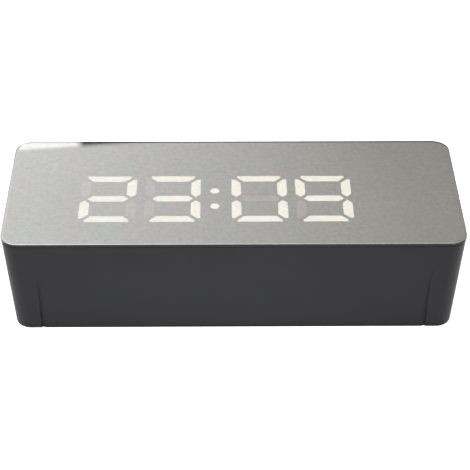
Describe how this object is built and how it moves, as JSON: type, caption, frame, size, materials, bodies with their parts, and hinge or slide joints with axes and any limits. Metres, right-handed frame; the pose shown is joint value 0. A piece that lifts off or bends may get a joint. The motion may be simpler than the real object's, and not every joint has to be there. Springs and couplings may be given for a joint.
{
  "type": "digital led desk clock",
  "caption": "Free-standing desk clock: mirrored face over large lit seven-segment digits on a tapered black case, shown on its back, with push keys and a sliding battery door.",
  "frame": {"origin": "on the flat back face, under the middle of the face panel: the clock lies on its back with the face up, as in the picture", "axes": "+X to the right of the digits as they are read, +Y towards the top side with the keys (away from the feet of the digits), +Z out of the mirrored face"},
  "size_m": [0.19, 0.0756, 0.0463],
  "materials": {
    "case_plastic": "satin charcoal black",
    "key_plastic": "satin charcoal black",
    "half_mirror": "half-silvered, polished",
    "tape_black": "foam tape",
    "display_black": "fine matt black",
    "lens_lit": "lit, warm white",
    "lens_dark": "unlit, milky",
    "led_body": "moulded",
    "circuit_board": "green solder mask",
    "screw_steel": "zinc plated",
    "chip_black": "moulded",
    "crystal_can": "drawn can",
    "capacitor_can": "sleeved can",
    "buzzer_black": "moulded",
    "connector_black": "moulded",
    "cell_steel": "nickel plated",
    "plated_contact": "nickel plated spring strip",
    "cell_sleeve": "plain sleeve",
    "jack_black": "moulded",
    "sensor_bead": "dipped bead",
    "switch_body": "moulded, plated cover",
    "switch_plunger": "moulded"
  },
  "bodies": {
    "case": {"battery_cell_1": "cell_sleeve", "battery_cell_2": "cell_sleeve", "battery_cell_3": "cell_sleeve", "battery_cell_4": "cell_sleeve", "buzzer": "buzzer_black", "capacitors": "capacitor_can", "case_shell": "case_plastic", "clock_chip": "chip_black", "coin_cell": "cell_steel", "coin_cell_clip": "plated_contact", "coin_cell_holder": "connector_black", "colon_lenses": "lens_lit", "contact_links": "plated_contact", "crystal": "crystal_can", "display_board": "circuit_board", "display_board_screws": "screw_steel", "display_frame": "display_black", "end_contacts": "plated_contact", "frame_screws": "screw_steel", "header_pins": "connector_black", "header_socket": "connector_black", "hours_ones_dark_lenses": "lens_dark", "hours_ones_lit_lenses": "lens_lit", "hours_tens_dark_lenses": "lens_dark", "hours_tens_lit_lenses": "lens_lit", "jack_pin": "plated_contact", "key_board": "circuit_board", "key_header": "connector_black", "key_switches": "switch_body", "main_board": "circuit_board", "main_board_screws": "screw_steel", "minutes_ones_dark_lenses": "lens_dark", "minutes_ones_lit_lenses": "lens_lit", "minutes_tens_dark_lenses": "lens_dark", "minutes_tens_lit_lenses": "lens_lit", "mirror_panel": "half_mirror", "panel_tape": "tape_black", "power_jack": "jack_black", "segment_leds": "led_body", "snooze_switch": "switch_body", "temperature_sensor": "sensor_bead"},
    "snooze_bar": {"snooze_bar": "key_plastic", "snooze_plunger": "switch_plunger"},
    "set_key": {"set_key": "key_plastic", "set_plunger": "switch_plunger"},
    "down_key": {"down_key": "key_plastic", "down_plunger": "switch_plunger"},
    "up_key": {"up_key": "key_plastic", "up_plunger": "switch_plunger"},
    "battery_door": {"battery_door": "case_plastic"}
  },
  "joints": [
    {"name": "snooze_bar_press", "type": "slide", "parent": "case", "child": "snooze_bar", "axis": [0, -0.9982, 0.0606], "range_m": [0, 0.0005], "stiffness_N_per_m": 3000},
    {"name": "set_key_press", "type": "slide", "parent": "case", "child": "set_key", "axis": [0, -0.9982, 0.0606], "range_m": [0, 0.0005], "stiffness_N_per_m": 3000},
    {"name": "down_key_press", "type": "slide", "parent": "case", "child": "down_key", "axis": [0, -0.9982, 0.0606], "range_m": [0, 0.0005], "stiffness_N_per_m": 3000},
    {"name": "up_key_press", "type": "slide", "parent": "case", "child": "up_key", "axis": [0, -0.9982, 0.0606], "range_m": [0, 0.0005], "stiffness_N_per_m": 3000},
    {"name": "battery_door_slide", "type": "slide", "parent": "case", "child": "battery_door", "axis": [0, 1, 0], "range_m": [0, 0.009]}
  ]
}
